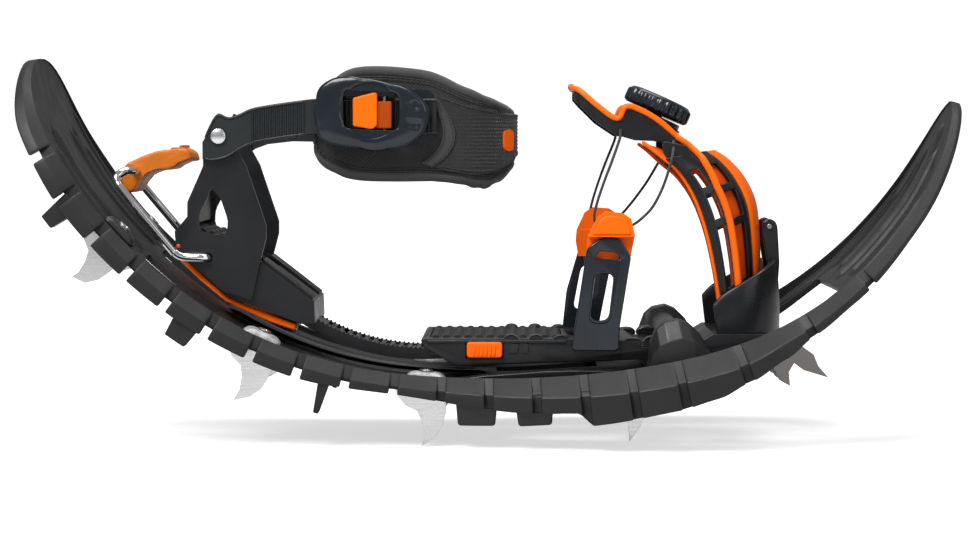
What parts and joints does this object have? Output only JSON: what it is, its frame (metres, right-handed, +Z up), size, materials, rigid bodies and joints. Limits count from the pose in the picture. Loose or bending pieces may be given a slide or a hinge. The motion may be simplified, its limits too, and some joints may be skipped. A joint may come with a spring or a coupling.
{
  "type": "flexible snowshoe",
  "caption": "Flexible snowshoe bent upwards at both ends, with steel crampon spikes underneath and a pivoting boot binding closed by a lace dial and a ladder strap.",
  "frame": {"origin": "centre of the bounding box in plan, at ground height under the lowest spike tips", "axes": "+X towards the toe, +Y towards the wearer's left, +Z up"},
  "size_m": [0.5361, 0.2076, 0.2178],
  "materials": {
    "deck": "moulded satin",
    "binding": "moulded satin",
    "grey_plastic": "moulded satin",
    "clear_grey": "translucent",
    "navy_gloss": "semi-gloss",
    "orange": "satin",
    "amber": "satin",
    "rubber": "matt",
    "steel": "brushed",
    "chrome_wire": "polished",
    "fabric": "woven",
    "strap": "ribbed",
    "cord": "braided"
  },
  "bodies": {
    "frame": {"frame_deck": "deck", "spike_tail_right": "steel", "spike_cap_tail_right": "clear_grey", "spike_tail_left": "steel", "spike_cap_tail_left": "clear_grey", "spike_heel_right": "steel", "spike_cap_heel_right": "clear_grey", "spike_heel_left": "steel", "spike_cap_heel_left": "clear_grey", "spike_middle_right": "steel", "spike_cap_middle_right": "clear_grey", "spike_middle_left": "steel", "spike_cap_middle_left": "clear_grey", "spike_front_right": "steel", "spike_front_left": "steel", "pivot_housing_right": "grey_plastic", "flex_leaf_right": "binding", "pivot_housing_left": "grey_plastic", "flex_leaf_left": "binding", "toe_pivot_axle": "steel"},
    "binding": {"front_platform": "binding", "forefoot_grip_pad": "rubber", "toe_cup": "binding", "front_claw": "steel", "tongue_hinge_pin": "steel", "side_upright_right": "navy_gloss", "lace_cap_right": "orange", "button_spring_right": "steel", "side_upright_left": "navy_gloss", "lace_cap_left": "orange", "button_spring_left": "steel"},
    "size_button_r": {"size_button_right": "orange"},
    "size_button_l": {"size_button_left": "orange"},
    "heel_unit": {"slider_bar": "binding", "heel_plate": "binding", "heel_grip_pad": "rubber", "heel_base_pad": "orange", "heel_cup": "navy_gloss", "strap_rivet_right": "steel", "strap_rivet_left": "steel"},
    "bail": {"heel_bail": "chrome_wire", "bail_tab": "amber"},
    "ankle": {"ladder_strap": "strap", "far_strap": "strap", "ankle_pad": "fabric", "buckle_base": "navy_gloss", "ratchet_pin": "steel", "release_pin": "steel"},
    "ratchet": {"ratchet_lever": "navy_gloss"},
    "release": {"release_lever": "orange"},
    "tongue": {"tongue_shell": "binding", "tongue_liner": "orange", "tongue_rail_right": "orange", "tongue_rail_left": "orange", "dial_plate": "binding", "dial_hub": "grey_plastic", "lace_right": "cord", "lace_left": "cord"},
    "dial": {"lace_dial": "navy_gloss"}
  },
  "joints": [
    {"name": "toe_pivot", "type": "hinge", "parent": "frame", "child": "binding", "pos_m": [0.10034, 0, 0.06006], "axis": [0, 1, 0], "range_deg": [0, 38]},
    {"name": "heel_size_slide", "type": "hinge", "parent": "binding", "child": "heel_unit", "pos_m": [-0.04187, 0, 0.17274], "axis": [0, 1, 0], "range_deg": [-3, 5]},
    {"name": "size_button_press_right", "type": "slide", "parent": "binding", "child": "size_button_r", "axis": [0, 1, 0], "range_m": [0, 0.0025], "deforming": ["button_spring_right"]},
    {"name": "size_button_press_left", "type": "slide", "parent": "binding", "child": "size_button_l", "axis": [0, -1, 0], "range_m": [0, 0.0025], "deforming": ["button_spring_left"]},
    {"name": "bail_swing", "type": "hinge", "parent": "heel_unit", "child": "bail", "pos_m": [-0.16287, 0, 0.10424], "axis": [0, 1, 0], "range_deg": [-8, 6]},
    {"name": "ankle_strap_swing", "type": "hinge", "parent": "heel_unit", "child": "ankle", "pos_m": [-0.15607, 0, 0.17274], "axis": [0, 1, 0], "range_deg": [-25, 6]},
    {"name": "ratchet_lever_open", "type": "hinge", "parent": "ankle", "child": "ratchet", "pos_m": [-0.09337, -0.0545, 0.18424], "axis": [0, 0, -1], "range_deg": [0, 50]},
    {"name": "release_lever_press", "type": "hinge", "parent": "ankle", "child": "release", "pos_m": [-0.06187, -0.0545, 0.18424], "axis": [0, 0, -1], "range_deg": [0, 12]},
    {"name": "tongue_swing", "type": "hinge", "parent": "binding", "child": "tongue", "pos_m": [0.15733, 0, 0.12104], "axis": [0, 1, 0], "range_deg": [0, 20], "deforming": ["lace_right", "lace_left"]},
    {"name": "dial_turn", "type": "hinge", "parent": "tongue", "child": "dial", "pos_m": [0.09113, 0, 0.18444], "axis": [0.4067, 0, 0.9135], "continuous": true}
  ]
}
